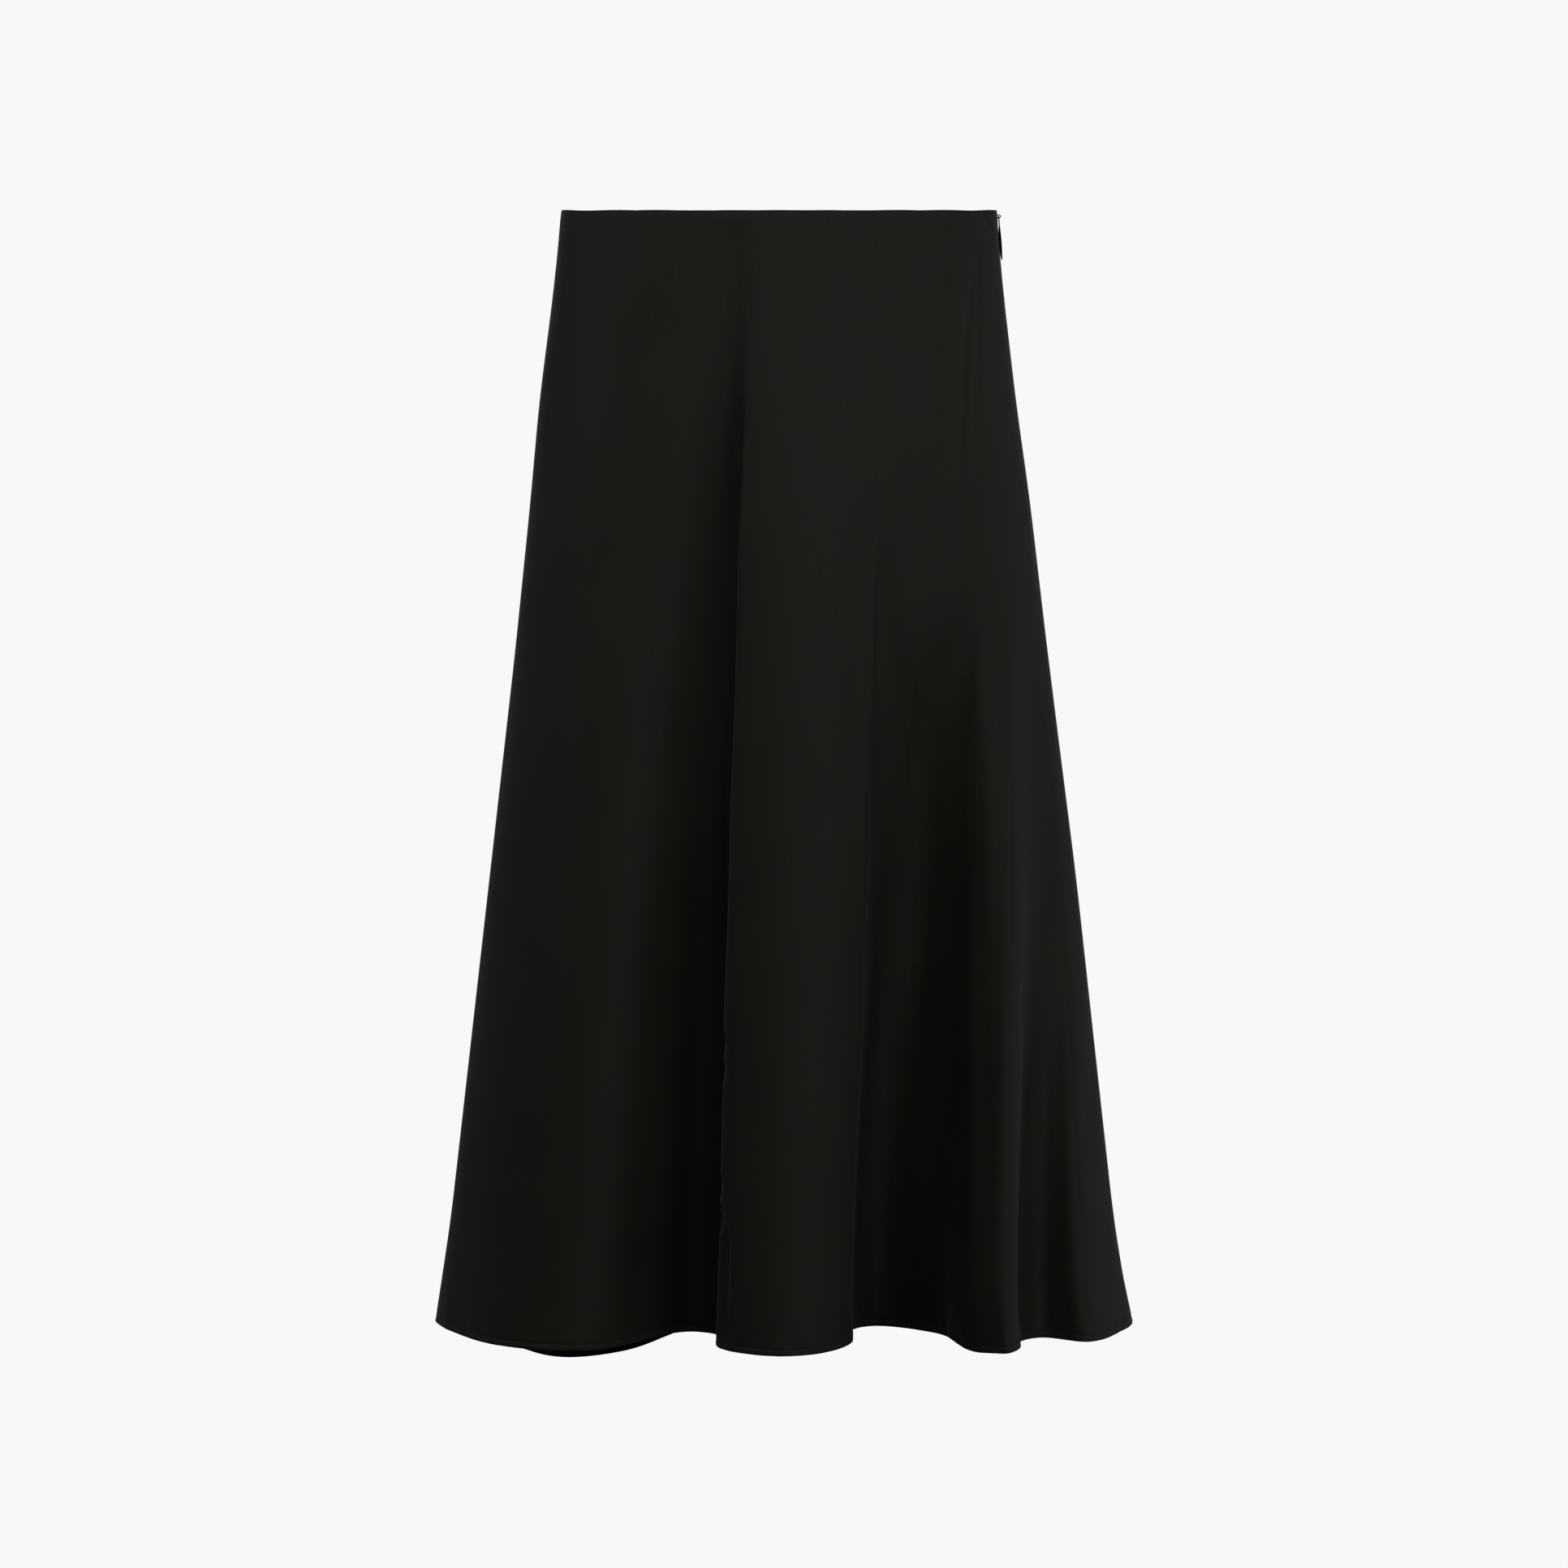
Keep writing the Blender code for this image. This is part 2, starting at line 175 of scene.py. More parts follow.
# %% Soft boxes
# name, azimuth in degrees from the camera's side towards the right, then in metres the height
# above the aim, distance, width and length, and last the power in watts
LIGHTS = (
    ("front_top", -14, 1.2, 1.8, 1.2, 0.9, 6.1),
    ("front_wide", 20, 0.0, 3.0, 2.2, 1.6, 3.0),
    ("right_top", 35, 1.0, 1.8, 1.0, 0.9, 4.5),
    ("right_front", 40, 0.1, 2.0, 0.9, 1.4, 1.9),
    ("right_side", 75, 0.0, 2.0, 0.8, 1.6, 2.2),
    ("right_rear", 112, 0.25, 2.2, 0.6, 2.0, 3.3),
    ("left_top", -76, 1.1, 1.9, 0.8, 0.8, 5.4),
    ("left_rear", -122, 0.0, 2.2, 0.6, 2.0, 1.0),
    ("back_wide", 172, 0.2, 2.6, 2.0, 1.6, 7.0),
    ("back_top", 196, 1.2, 1.8, 1.1, 0.9, 8.0),
)
AIM_Z = -0.4  # the middle of the skirt

for name, azimuth, height, distance, wide, high, watts in LIGHTS:
    lamp = bpy.data.lights.new(name, "AREA")
    lamp.shape = "RECTANGLE"
    lamp.size = wide
    lamp.size_y = high
    lamp.energy = watts
    box = bpy.data.objects.new(name, lamp)
    turn = math.radians(azimuth)
    box.location = (distance * math.sin(turn), -distance * math.cos(turn), AIM_Z + height)
    tilt = math.atan2(height, distance)
    box.rotation_euler = (math.pi / 2 - tilt, 0, turn)
    box.visible_camera = False
    scene.collection.objects.link(box)
print(len(LIGHTS), "soft boxes")

# %% [markdown]
# ## The form of the cloth
# The satin hangs from the waist in flutes that deepen on their way to the hem. The CAD model's
# walls follow the tables below, with a row for each ridge, flank and valley of the cloth, and
# the same tables give the thin cloth here, so it lies on its solid at every point. A cloth
# simulation would find folds of its own, and the ones in the photo would be lost.

# %% Tables of the form
SEAM_GAP = 0.005 * MM  # the sewn edges all but touch; the CAD keeps its stiff walls 0.3 mm apart
# mm: half-widths and half-depths of the plain body at each drop below the waist edge
SECTION_COLUMNS = ("drop", "left", "right", "front", "back")
SECTIONS = (
    (0, 147.5, 147.5, 88, 88),
    (50, 152.5, 151.5, 92, 94),
    (130, 163, 161, 97, 100),
    (200, 169.5, 171, 99, 102),
    (300, 180, 183, 100, 102),
    (450, 197.5, 202.5, 98, 98),
    (600, 215, 219, 96, 94),
    (690, 225.5, 229, 95, 92),
    (745, 234, 238, 95, 92),
    (761, 236.5, 243, 95, 92),
    (805, 243, 249, 95, 92),
)
# mm: where each fold leaves the waist edge, where it meets the hem, how long the cloth is there,
# and how far below the waist it begins to part from the plain body
FOLD_COLUMNS = ("name", "waist_x", "hem_x", "hem_y", "length", "start", "growth")
FRONT_FOLDS = (
    ("left_seam", -147.5, -236.5, 0, 761, 0, 1.15),
    ("left_turn", -138, -213, -64, 761, 60, 1.15),
    ("left_shoulder", -122, -182, -104, 761, 60, 1.15),
    ("left_ridge", -88, -136, -121, 761, 60, 1.15),
    ("left_slope", -59, -94, -84, 761, 30, 1.05),
    ("left_valley", -32, -56, -44, 761, 15, 0.9),
    ("centre_wall_left", -25, -42, -56, 761, 15, 0.9),
    ("centre_lip_left", -21, -43, -100, 761, 15, 1.0),
    ("centre_left", -9, -25, -130, 761, 15, 1.15),
    ("centre_ridge", 12, 4, -141, 761, 15, 1.15),
    ("centre_right", 42, 34, -128, 760, 60, 1.15),
    ("centre_lip_right", 57, 48.5, -107, 758, 160, 1.15),
    ("centre_wall_right", 58.5, 46.5, -64, 759, 165, 1.1),
    ("right_valley", 76, 66, -21, 761, 270, 0.95),
    ("right_slope", 98, 98, -40, 761, 235, 0.7),
    ("second_foot", 113, 114, -64, 761, 215, 0.75),
    ("second_wall", 118, 123, -92, 763, 200, 0.95),
    ("second_flank", 122.5, 132, -107, 764, 195, 1.1),
    ("second_ridge", 128, 143, -118, 763, 190, 1.15),
    ("second_crest", 133, 153, -125, 762, 190, 1.15),
    ("second_lip", 136.5, 162.5, -111, 761, 210, 1.15),
    ("second_lip_wall", 138, 162, -88, 761, 250, 1.15),
    ("shallow_valley", 141.5, 178, -67, 761, 320, 1.25),
    ("side_ridge", 144, 204, -84, 761, 420, 1.15),
    ("right_turn", 146.3, 231, -49, 761, 420, 1.15),
    ("right_seam", 147.5, 243, 0, 761, 420, 1.15),
)
BACK_FOLDS = (
    ("back_turn", 143, 232, 46, 764, 200, 1.15),
    ("back_side_ridge", 126, 180, 112, 780, 60, 1.15),
    ("back_side_slope", 97, 126, 92, 776, 40, 1.0),
    ("back_side_valley", 77, 88, 30, 768, 40, 0.85),
    ("back_side_foot", 62, 66, 64, 770, 40, 0.9),
    ("back_ridge", 24, 16, 134, 774, 30, 1.15),
    ("back_slope", -28, -44, 96, 775, 60, 1.1),
    ("back_valley", -58, -88, 32, 781, 90, 0.9),
    ("back_wall", -92, -118, 78, 797, 120, 1.0),
    ("back_left_ridge", -116, -162, 104, 803, 120, 1.15),
    ("back_left_turn", -140, -215, 60, 774, 120, 1.15),
)
FOLD_ONSET = 0.13  # share of its length over which a fold sets in softly
FOLD_BLEND = 0.018  # of a lap, over which neighbouring folds share their places
SECTION_BLEND = 20 * MM
BESIDE_STEPS = 12  # in which a distance round the cloth is walked


# %% The plain body
def section(name, drop):
    """One measure of the plain body, with the corners of its table rounded."""
    drops = np.array([row[0] for row in SECTIONS]) * MM
    sizes = np.array([row[SECTION_COLUMNS.index(name)] for row in SECTIONS]) * MM
    steps = np.linspace(-1, 1, 9) * SECTION_BLEND
    read = [np.interp(np.abs(drop + step), drops, sizes) for step in steps]
    settle = np.clip(drop / SECTION_BLEND, 0, 1)  # the waist edge itself keeps its own size
    return settle * np.mean(read, axis=0) + (1 - settle) * np.interp(drop, drops, sizes)


def plain_ring(angle, drop):
    cosine, sine = np.cos(angle), np.sin(angle)
    wide = np.where(cosine < 0, section("left", drop), section("right", drop))
    deep = np.where(sine < 0, section("front", drop), section("back", drop))
    return np.column_stack([wide * cosine, deep * sine])


# %% The folded form
class Form:
    """The outer face of the cloth, at a place around it from 0 to 1 and a drop below the waist.

    The lap starts at the left side seam, crosses the front to the right one and ends behind.
    """

    def __init__(self, folds, front_count):
        column = {name: i for i, name in enumerate(FOLD_COLUMNS)}
        self.hem = np.array([row[column["hem_x"] : column["length"] + 1] for row in folds]) * MM
        self.start = np.array([row[column["start"]] for row in folds]) * MM
        self.growth = np.array([row[column["growth"]] for row in folds])
        chord = np.linalg.norm(np.roll(self.hem, -1, axis=0) - self.hem, axis=1)
        self.knots = np.concatenate([[0], np.cumsum(chord)[:-1]]) / chord.sum()
        self.right_seam = float(self.knots[front_count - 1])
        waist_x = np.array([row[column["waist_x"]] for row in folds])
        lean = np.arccos(waist_x / max(waist_x))
        behind = np.arange(len(folds)) >= front_count
        self.angle = 2 * math.pi + np.where(behind, lean, -lean)

    def spline(self, around):
        """The hem's x, y and drop: a smooth closed curve through the rows of the tables."""
        span = np.diff(np.append(self.knots, 1))
        before = np.roll(span, 1)
        rise = (np.roll(self.hem, -1, axis=0) - self.hem) / span[:, None]
        count = len(span)
        rows = np.arange(count)
        system = np.zeros((count, count))
        system[rows, rows] = 2 * (before + span)
        system[rows, (rows - 1) % count] += before
        system[rows, (rows + 1) % count] += span
        bend = np.linalg.solve(system, 6 * (rise - np.roll(rise, 1, axis=0)))
        around = around % 1
        i = np.searchsorted(self.knots, around, side="right") - 1
        j = (i + 1) % count
        width = span[i][:, None]
        past = (around - self.knots[i])[:, None]
        left = width - past
        return (
            (bend[i] * left**3 + bend[j] * past**3) / (6 * width)
            + (self.hem[i] / width - bend[i] * width / 6) * left
            + (self.hem[j] / width - bend[j] * width / 6) * past
        )

    def softened(self, values, around, lap=0.0):
        """Straight lines between the rows' values with their corners rounded."""
        knots = np.concatenate([self.knots - 1, self.knots, self.knots + 1])
        values = np.concatenate([values - lap, values, values + lap])
        steps = np.linspace(-1, 1, 13)
        weights = np.cos(steps * math.pi / 2) ** 2
        read = np.array([np.interp(around + step * FOLD_BLEND, knots, values) for step in steps])
        return weights @ read / weights.sum()

    def hem_drop(self, around):
        around = np.asarray(around, float)
        return self.spline(around.ravel())[:, 2].reshape(around.shape)

    def point(self, around, drop):
        around, drop = np.broadcast_arrays(np.asarray(around, float), np.asarray(drop, float))
        flat_around, flat_drop = around.ravel(), drop.ravel()
        angle = self.softened(self.angle, flat_around, lap=2 * math.pi)
        start = self.softened(self.start, flat_around)
        hem = self.spline(flat_around)
        full = hem[:, 2]
        growth = self.softened(self.growth, flat_around)
        share = np.clip((flat_drop - start) / (full - start), 0, None)
        grown = share**growth * (1 - np.exp(-((share / FOLD_ONSET) ** 2)))
        ring = plain_ring(angle, flat_drop) + grown[:, None] * (hem[:, :2] - plain_ring(angle, full))
        return np.column_stack([ring, -flat_drop]).reshape(*around.shape, 3)

    def tangent(self, around, drop, step=1e-4):
        """How the level ring runs on per whole turn."""
        ahead = self.point(around + step, drop) - self.point(around - step, drop)
        return ahead[..., :2] / (2 * step)

    def inside(self, around, drop, depth):
        """A point of the face moved level into the skirt, by one depth or by one for each."""
        around, drop = np.broadcast_arrays(np.asarray(around, float), np.asarray(drop, float))
        along = self.tangent(around, drop)
        point = self.point(around, drop)
        outward = np.stack([along[..., 1], -along[..., 0]], axis=-1)
        outward /= np.linalg.norm(outward, axis=-1, keepdims=True)
        point[..., :2] -= np.asarray(depth)[..., None] * outward
        return point

    def beside(self, around, drop, distance):
        """The place round the lap that lies a distance of cloth further on, reached in steps."""
        for _ in range(BESIDE_STEPS):
            pace = np.linalg.norm(self.tangent(around, drop), axis=-1)
            around = around + distance / BESIDE_STEPS / pace
        return around


FRONT_COUNT = len(FRONT_FOLDS)
form = Form(FRONT_FOLDS + BACK_FOLDS, FRONT_COUNT)
print("folds in front and behind:", FRONT_COUNT, len(BACK_FOLDS))

# %% The slit at the zip
SLIDER_DROP = 4.2 * MM
SLIT_WIDTH = 2.4 * MM  # the seam's edges part this much round the slider
SLIT_ABOVE = 12 * MM
SLIT_BELOW = 30.8 * MM


def slit(drop):
    """The width between the seam's edges on the zip side."""
    reach = np.where(drop < SLIDER_DROP, SLIT_ABOVE, SLIT_BELOW)
    far = np.clip(np.abs(drop - SLIDER_DROP) / reach, 0, 1)
    return SEAM_GAP + (SLIT_WIDTH - SEAM_GAP) * np.cos(far * math.pi / 2) ** 2


def closed(drop):
    return np.full_like(drop, SEAM_GAP)


# %% [markdown]
# ## Creases
# Between the large flutes a hanging satin skirt has soft creases that a wall of 1.5 mm can't
# hold. Each row below is one crease, placed on the front from the photo, and set as unevenly on
# the back, which the photo doesn't show. A crease is a trough or a ridge with a steep side and a
# soft side, and it fades out at both its ends.

# %% Tables of creases
# name, then in mm: x and drop of its top, x and drop of its foot, how far it spreads to its left
# and to its right, and its height, which is negative for a trough
FRONT_CREASES = (
    ("valley_head", -28, 6, -33, 400, 18, 8, -8.0),
    ("left_panel_crease", -83, 120, -92, 470, 14, 10, -0.9),
    ("left_panel_ridge", -104, 240, -132, 700, 18, 22, 0.8),
    ("far_left_hollow", -150, 330, -186, 750, 26, 20, -1.6),
    ("zip_foot_crease", 133.5, 12, 126.5, 190, 12, 4.5, -3.6),
    ("zip_foot_hollow", 112, 8, 108, 150, 20, 15, -1.6),
    ("zip_foot_ridge", 138, 60, 135, 230, 6, 8, 0.7),
    ("left_lip_hollow", -36, 540, -37, 758, 14, 5, -4.8),
    ("centre_soft_edge", 54, 160, 50, 560, 9, 11, -1.8),
    ("right_valley_head", 104, 185, 58, 725, 18, 30, -9.5),
    ("right_valley_far_side", 124, 230, 121, 738, 26, 15, -3.2),
    ("right_valley_trough", 100, 240, 92, 600, 9, 13, -2.4),
    ("second_flank_hollow", 133, 330, 137, 700, 9, 8, -2.2),
    ("small_right_valley", 176, 590, 182, 752, 12, 12, -1.0),
    ("corner_pucker", 136.5, 0, 145, 13, 3.2, 2.8, -2.1),
    ("waist_ripple_one", 60, 4, 72, 60, 9, 12, -0.35),
    ("waist_ripple_two", -70, 4, -60, 48, 12, 9, -0.3),
    ("waist_ripple_three", 14, 3, 10, 40, 8, 8, 0.25),
)
BACK_CREASES = (
    ("back_head_one", 74, 14, 76, 300, 8, 12, -1.5),
    ("back_head_two", -52, 30, -60, 350, 13, 8, -1.4),
    ("back_panel_crease", 20, 150, 26, 520, 12, 16, -0.8),
    ("back_left_crease", -104, 90, -118, 430, 14, 10, -0.9),
    ("back_right_hollow", 150, 320, 170, 700, 18, 24, -1.3),
    ("back_left_hollow", -170, 360, -190, 740, 22, 20, -1.5),
    ("back_zip_crease", 130, 30, 128, 210, 8, 10, -1.1),
    ("back_ripple", -20, 4, -12, 55, 11, 9, -0.3),
)
# long, faint swells that no hanging cloth is without: length around and length down in mm,
# phase, and height in mm
DRIFTS = (
    (118, 310, 0.4, 0.34),
    (73, 205, 2.1, 0.22),
    (171, 137, 4.0, 0.26),
    (47, 390, 1.2, 0.12),
)
DRIFT_SETTLE = 90 * MM  # the waist edge lies smooth, and the swells reach their height here
CREASE_FADE = 0.8  # below 1, a crease keeps its height longer before it fades out

# %% Shapes of the creases
def crease_heights(table, points, along):
    """How far each point of a grid stands out; along is its distance round the cloth."""
    heights = np.zeros(points.shape[:2])
    drops = -points[..., 2]
    for _, top_x, top_drop, foot_x, foot_drop, left, right, height in table:
        down = (drops / MM - top_drop) / (foot_drop - top_drop)
        fade = np.where((down > 0) & (down < 1), np.sin(np.pi * np.clip(down, 0, 1)), 0) ** CREASE_FADE
        wanted = (top_x + (foot_x - top_x) * down.mean(axis=1)) * MM
        for row in np.flatnonzero(fade.max(axis=1) > 0):
            x = points[row, :, 0]
            order = np.argsort(x)
            centre = np.interp(wanted[row], x[order], along[row][order])
            side = along[row] - centre if x[-1] > x[0] else centre - along[row]
            spread = np.where(side < 0, left, right) * MM
            heights[row] += height * MM * fade[row] * np.exp(-((side / spread) ** 2))
    return heights


def drift_heights(points, along):
    drops = -points[..., 2]
    waves = [
        height * np.sin(2 * np.pi * (along / around + drops / down) / MM + phase)
        for around, down, phase, height in DRIFTS
    ]
    settle = np.clip(drops / DRIFT_SETTLE, 0, 1)
    return sum(waves) * MM * settle


# %% [markdown]
# ## Satin
# Satin is woven with long floats of filament polyester: its face is smooth and gives a soft,
# stretched gleam, while its reverse is duller, because the short bindings of the weave show
# there. Here the colour is a warm near-black, and nearly all that shows of the folds is gloss:
# surfaces that face the soft boxes turn grey and the others stay black.

# %% Satin, right side and reverse
CLOTH_MAP = "cloth"  # a UV map in metres of cloth, along and down the panel
THREAD = 0.5 * MM  # real threads lie 0.12 mm apart; drawn coarser, or no pixel would show them
SLUB = (0.7 * MM, 28 * MM)  # streaks where a filament runs thicker, across and along


def straight_bands(period):
    """The Wave texture's scale for bands along an axis, a given length apart."""
    return 2 * math.pi / (20 * period)


def diagonal_bands(period):
    """The same for its diagonal bands."""
    return 2 * math.pi / (10 * math.sqrt(2) * period)


def satin_material(name, dark, light, roughness, gloss, bump):
    """Filament satin: a near-black with faint blotches, streaks along the warp and a fine twill."""
    made, tree = new_material(name)
    cloth = add_node(tree, "ShaderNodeUVMap", uv_map=CLOTH_MAP).outputs[0]
    blotch = add_node(tree, "ShaderNodeTexNoise", {"Vector": cloth, "Scale": 1 / 0.06, "Detail": 3.0})
    streak_place = add_node(
        tree,
        "ShaderNodeMapping",
        {"Vector": cloth, "Scale": (1 / SLUB[0], 1 / SLUB[1], 1.0)},
    )
    streak = add_node(
        tree,
        "ShaderNodeTexNoise",
        {"Vector": streak_place.outputs[0], "Scale": 1.0, "Detail": 2.0},
    )
    weave = add_node(
        tree,
        "ShaderNodeTexWave",
        {"Vector": cloth, "Scale": diagonal_bands(THREAD), "Distortion": 0.6, "Detail": 1.0},
        bands_direction="DIAGONAL",
    )
    both = add_node(
        tree,
        "ShaderNodeMath",
        {0: blotch.outputs["Fac"], 1: 0.75, 2: streak.outputs["Fac"]},
        operation="MULTIPLY_ADD",
    )
    spread = add_node(
        tree,
        "ShaderNodeMapRange",
        {"Value": both.outputs[0], "From Min": 0.6, "From Max": 1.15},
    )
    colour = add_node(
        tree,
        "ShaderNodeMix",
        {0: spread.outputs[0], 6: linear(dark), 7: linear(light)},
        data_type="RGBA",
    )
    rough = add_node(
        tree,
        "ShaderNodeMapRange",
        {"Value": spread.outputs[0], "To Min": roughness - 0.03, "To Max": roughness + 0.03},
    )
    relief = add_node(
        tree,
        "ShaderNodeMath",
        {0: weave.outputs["Fac"], 1: 0.5, 2: streak.outputs["Fac"]},
        operation="MULTIPLY_ADD",
    )
    bumped = add_node(
        tree,
        "ShaderNodeBump",
        {"Height": relief.outputs[0], "Strength": bump, "Distance": 0.05 * MM},
    )
    shader = add_node(
        tree,
        "ShaderNodeBsdfPrincipled",
        {
            "Base Color": colour.outputs[2],
            "Roughness": rough.outputs[0],
            "Normal": bumped.outputs[0],
            "IOR": 1.5,
            "Specular IOR Level": gloss,
            "Sheen Weight": 0.12,
            "Sheen Roughness": 0.4,
        },
    )
    finish_material(tree, shader.outputs[0])
    return made


SATIN = satin_material("polyester_satin_face", "#1B1C13", "#23241A", 0.66, 0.35, 0.35)
REVERSE = satin_material("polyester_satin_reverse", "#22221D", "#2B2B25", 0.75, 0.3, 0.5)
print("satin threads drawn", THREAD / MM, "mm apart")

# %% [markdown]
# ## The cloth panels
# Each panel is one sheet of satin half a millimetre thick, made as two grids of points, its
# right side and its reverse, joined round the rim. A grid knows its place at each point, so the
# turned edges can be given as short tables: at the waist the cloth is folded in and down by a
# centimetre, and at the hem it is turned twice into a narrow roll that shows as a fine line
# 4 mm above the edge. At the side seams it rolls inwards and lies back on itself as an allowance
# of 11 mm, pressed open, which is seen only from inside.

# %% Rows of the sheet
# mm from the edge, then the depth of the right side and of the reverse inside the CAD's face
WAIST_ROWS = (
    (0.0, 0.36, 0.74),
    (0.2, 0.09, 1.01),
    (0.6, 0.0, 1.1),
    (1.4, 0.0, 1.1),
    (3.0, 0.0, 1.1),
    (5.5, 0.0, 1.1),
    (8.2, 0.0, 1.1),
    (9.6, 0.0, 1.05),
    (10.0, 0.0, 0.55),
    (11.0, 0.0, 0.5),
)
HEM_ROWS = (
    (12.0, 0.0, 0.5),
    (8.0, 0.0, 0.5),
    (6.0, 0.0, 0.5),
    (5.0, 0.02, 0.5),
    (4.5, 0.1, 0.52),
    (4.1, 0.26, 0.6),
    (3.8, 0.2, 1.1),
    (3.3, 0.02, 1.22),
    (2.4, -0.04, 1.25),
    (1.4, -0.04, 1.22),
    (0.7, 0.01, 1.12),
    (0.25, 0.14, 0.9),
    (0.0, 0.38, 0.62),
)
BODY_ROWS = 84
COLUMNS_A_FOLD = {"front": 16, "back": 24}
CLOTH = 0.5 * MM

# %% Columns at a seam
# mm from the seam's edge on the right side and on the reverse, the depths of both, and how much
# of the turned waist edge and hem they take part in. The first four are the allowance.
SEAM_COLUMNS = (
    (11.0, 11.0, 1.75, 1.28, 0.0),
    (7.0, 7.0, 1.75, 1.28, 0.0),
    (3.0, 3.0, 1.75, 1.28, 0.0),
    (1.1, 1.1, 1.72, 1.28, 0.0),
    (0.3, 0.65, 1.45, 1.15, 0.0),
    (0.0, 0.5, 0.9, 0.9, 0.0),
    (0.3, 0.65, 0.35, 0.65, 0.4),
    (0.9, 1.0, 0.06, 0.5, 1.0),
    (2.0, 2.0, 0.0, 0.5, 1.0),
)
ALLOWANCE_COLUMNS = 4
SEAM_COLUMN = 5  # the one on the seam's edge
ALLOWANCE_FROM_WAIST = 1.5 * MM
ALLOWANCE_TO_HEM = 5 * MM
SEAM_ROOM = 3 * MM  # left to these columns beside each seam
SEAM_HOLD = 26 * MM  # a seam holds the cloth to its form, less and less over this distance
ZIP_HOLLOW = (0.4 * MM, 42 * MM, 7 * MM)  # depth, length and spread of the dip under the pull tab
# mm: the folded waist edge is never quite level
EDGE_WAVES = ((95, 0.6, 0.16), (41, 2.2, 0.1))
EDGE_WAVE_DROP = 14 * MM
# mm round the hem: the stitches gather it a little between them
PUCKER_WAVES = ((21, 0.3, 0.26), (13.5, 1.9, 0.2), (34, 4.1, 0.2))
PUCKER_REACH = (5 * MM, 5 * MM)  # above the edge, and how far they spread


def down_the_sheet(hem_drops):
    """Drops of every row of the sheet, with the depths of its right side and of its reverse."""
    waist = np.array(WAIST_ROWS) * MM
    hem = np.array(HEM_ROWS) * MM
    share = np.linspace(0, 1, BODY_ROWS + 2)[1:-1, None]
    top = np.repeat(waist[:, :1], len(hem_drops), axis=1)
    foot = hem_drops[None, :] - hem[:, :1]
    body = top[-1] + share * (foot[0] - top[-1])
    plain = np.tile(waist[-1, 1:], (BODY_ROWS, 1))
    return np.concatenate([top, body, foot]), np.concatenate([waist[:, 1:], plain, hem[:, 1:]])


def along_rows(points):
    """How far each point lies round the cloth, from the middle of the panel."""
    steps = np.linalg.norm(np.diff(points[..., :2], axis=1), axis=-1)
    run = np.concatenate([np.zeros((len(points), 1)), np.cumsum(steps, axis=1)], axis=1)
    return run - run[:, -1:] / 2


def waves(table, run):
    """Sines of the given lengths, phases and heights, all in mm, added up."""
    return sum(height * np.sin(2 * np.pi * run / MM / length + phase) for length, phase, height in table) * MM


# %% Maps on the sheet
BAKE_MAP = "OFBake"  # a UV map from 0 to 1 in which no two faces share a place
RIGHT_SIDE_MAP = (0.004, 0.616)  # the right side takes the larger part of the map
REVERSE_MAP = (0.624, 0.996)
SHEET_MAP_HEIGHT = (0.004, 0.976)
RIM_MAP_HEIGHT = (0.984, 0.996)


def between(span, share):
    return span[0] + (span[1] - span[0]) * share


def bake_places(along, height, corner, rim_faces):
    """The baking map's place for each corner: two grids side by side, and the rim above them."""
    across = (along - along[:, :1]) / (along[:, -1:] - along[:, :1])
    up = (height - height.min(axis=0)) / (height.max(axis=0) - height.min(axis=0))
    sides = [
        np.column_stack([between(span, across).ravel(), between(SHEET_MAP_HEIGHT, up).ravel()])
        for span in (RIGHT_SIDE_MAP, REVERSE_MAP)
    ]
    places = np.concatenate(sides)[corner]
    step = np.arange(rim_faces)[:, None] + np.array([0, 1, 1, 0])
    rise = np.tile([0, 0, 1, 1], (rim_faces, 1))
    places[-4 * rim_faces :, 0] = (step / rim_faces).ravel()
    places[-4 * rim_faces :, 1] = between(RIM_MAP_HEIGHT, rise).ravel()
    return places


def sheet_mesh(name, outer, inner, along, right_side, reverse):
    """A closed sheet between two grids, with its cloth map and its map for baking."""
    rows, columns = outer.shape[:2]
    out = np.arange(rows * columns).reshape(rows, columns)
    into = out + rows * columns
    face = [out[:-1, :-1], out[1:, :-1], out[1:, 1:], out[:-1, 1:]]
    back = [into[:-1, :-1], into[:-1, 1:], into[1:, 1:], into[1:, :-1]]
    faces = [np.stack(side, axis=-1).reshape(-1, 4) for side in (face, back)]
    ring = np.concatenate([out[0, :-1], out[:-1, -1], out[-1, :0:-1], out[:0:-1, 0]])
    ahead = np.roll(ring, -1)
    shift = rows * columns
    faces.append(np.stack([ring, ahead, ahead + shift, ring + shift], axis=-1))
    mesh = bpy.data.meshes.new(name)
    everything = np.concatenate([outer.reshape(-1, 3), inner.reshape(-1, 3)])
    mesh.from_pydata(everything.tolist(), [], np.concatenate(faces).tolist())
    mesh.materials.append(right_side)
    mesh.materials.append(reverse)
    wrong = np.zeros(len(mesh.polygons), dtype=np.int32)
    wrong[len(faces[0]) : len(faces[0]) + len(faces[1])] = 1
    mesh.polygons.foreach_set("material_index", wrong)
    mesh.shade_smooth()
    corner = np.concatenate(faces).ravel()
    cloth = np.column_stack([along.ravel(), outer[..., 2].ravel()])
    cloth = np.concatenate([cloth, cloth])[corner]
    bake = bake_places(along, outer[..., 2], corner, len(faces[2]))
    for label, places in ((CLOTH_MAP, cloth), (BAKE_MAP, bake)):
        mesh.uv_layers.new(name=label).uv.foreach_set("vector", places.astype(np.float32).ravel())
    return mesh


def place(name, mesh, body):
    """Puts a mesh in the scene as a piece that rides on a body."""
    made = bpy.data.objects.new(name, mesh)
    scene.collection.objects.link(made)
    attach(made, body)
    return made


